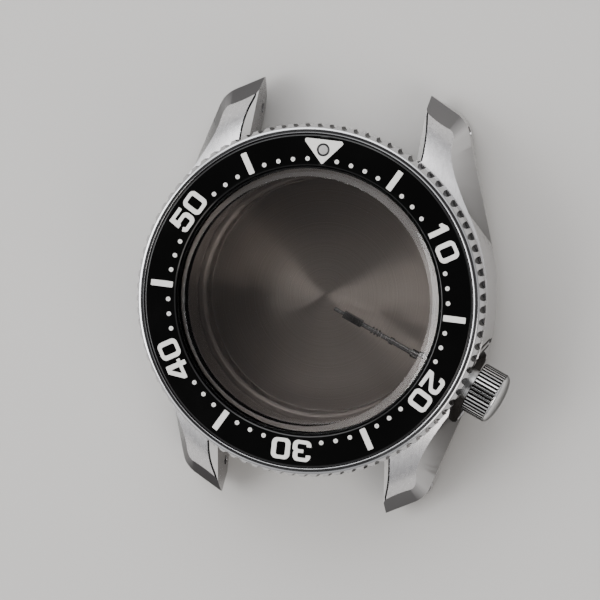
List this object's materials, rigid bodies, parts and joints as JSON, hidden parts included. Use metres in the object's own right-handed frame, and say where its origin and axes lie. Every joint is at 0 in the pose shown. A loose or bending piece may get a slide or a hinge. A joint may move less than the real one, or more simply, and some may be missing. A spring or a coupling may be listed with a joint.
{
  "type": "watch case",
  "caption": "Empty round dive watch case with drilled lugs, turning click bezel, flat crystal, screw-down crown with stem, and screwed back.",
  "frame": {"origin": "on the case axis, in the outer face of the back", "axes": "+Z out of the crystal, +X to 3 o'clock, +Y to 12 o'clock"},
  "size_m": [0.0436, 0.0494, 0.0144],
  "materials": {
    "case_steel": "brushed top and flanks, polished bevels",
    "bezel_steel": "polished",
    "crown_steel": "satin with polished cap",
    "back_steel": "fine turned",
    "turned_steel": "fine turned",
    "stem_steel": "bright turned",
    "spring_steel": "plain",
    "cup_steel": "dark",
    "sapphire": "clear, polished bevel",
    "insert_ceramic": "gloss black with pale marks",
    "black_seal": "matt",
    "black_rubber": "matt",
    "lume": "matt pale grey"
  },
  "bodies": {
    "case": {"midcase": "case_steel", "crystal": "sapphire", "crystal_gasket": "black_seal", "bezel_gasket": "black_rubber", "click_spring": "spring_steel", "crown_tube": "turned_steel", "tube_gasket": "black_rubber"},
    "bezel": {"bezel_ring": "bezel_steel", "bezel_insert": "insert_ceramic", "pip_cup": "cup_steel", "lume_pip": "lume"},
    "stem": {"winding_stem": "stem_steel", "crown_core": "turned_steel"},
    "crown_inner": {"crown_spring": "spring_steel", "spring_washer": "turned_steel"},
    "crown": {"crown_shell": "crown_steel", "crown_sleeve": "turned_steel", "crown_gasket": "black_rubber"},
    "back_ring": {"caseback_gasket": "black_rubber"},
    "back": {"caseback": "back_steel"}
  },
  "joints": [
    {"name": "bezel_turn", "type": "hinge", "parent": "case", "child": "bezel", "pos_m": [0, 0, 0.0124], "axis": [0, 0, 1], "continuous": true, "deforming": ["click_spring"]},
    {"name": "crown_pull", "type": "slide", "parent": "case", "child": "stem", "axis": [0.9239, -0.3827, 0], "range_m": [0, 0.0013]},
    {"name": "crown_unscrew", "type": "hinge", "parent": "stem", "child": "crown_inner", "pos_m": [0.02171, -0.00899, 0.0074], "axis": [0.9239, -0.3827, 0], "range_deg": [0, 1440]},
    {"name": "crown_lift", "type": "slide", "parent": "crown_inner", "child": "crown", "axis": [0.9239, -0.3827, 0], "range_m": [0, 0.0014]},
    {"name": "caseback_unscrew", "type": "hinge", "parent": "case", "child": "back_ring", "pos_m": [0, 0, 0], "axis": [0, 0, -1], "range_deg": [0, 1080]},
    {"name": "caseback_lift", "type": "slide", "parent": "back_ring", "child": "back", "axis": [0, 0, -1], "range_m": [0, 0.0015]}
  ],
  "couplings": [
    {"joint": "crown_unscrew", "follows": "crown_lift", "rad_per_m": 17952},
    {"joint": "caseback_unscrew", "follows": "caseback_lift", "rad_per_m": 12566}
  ]
}
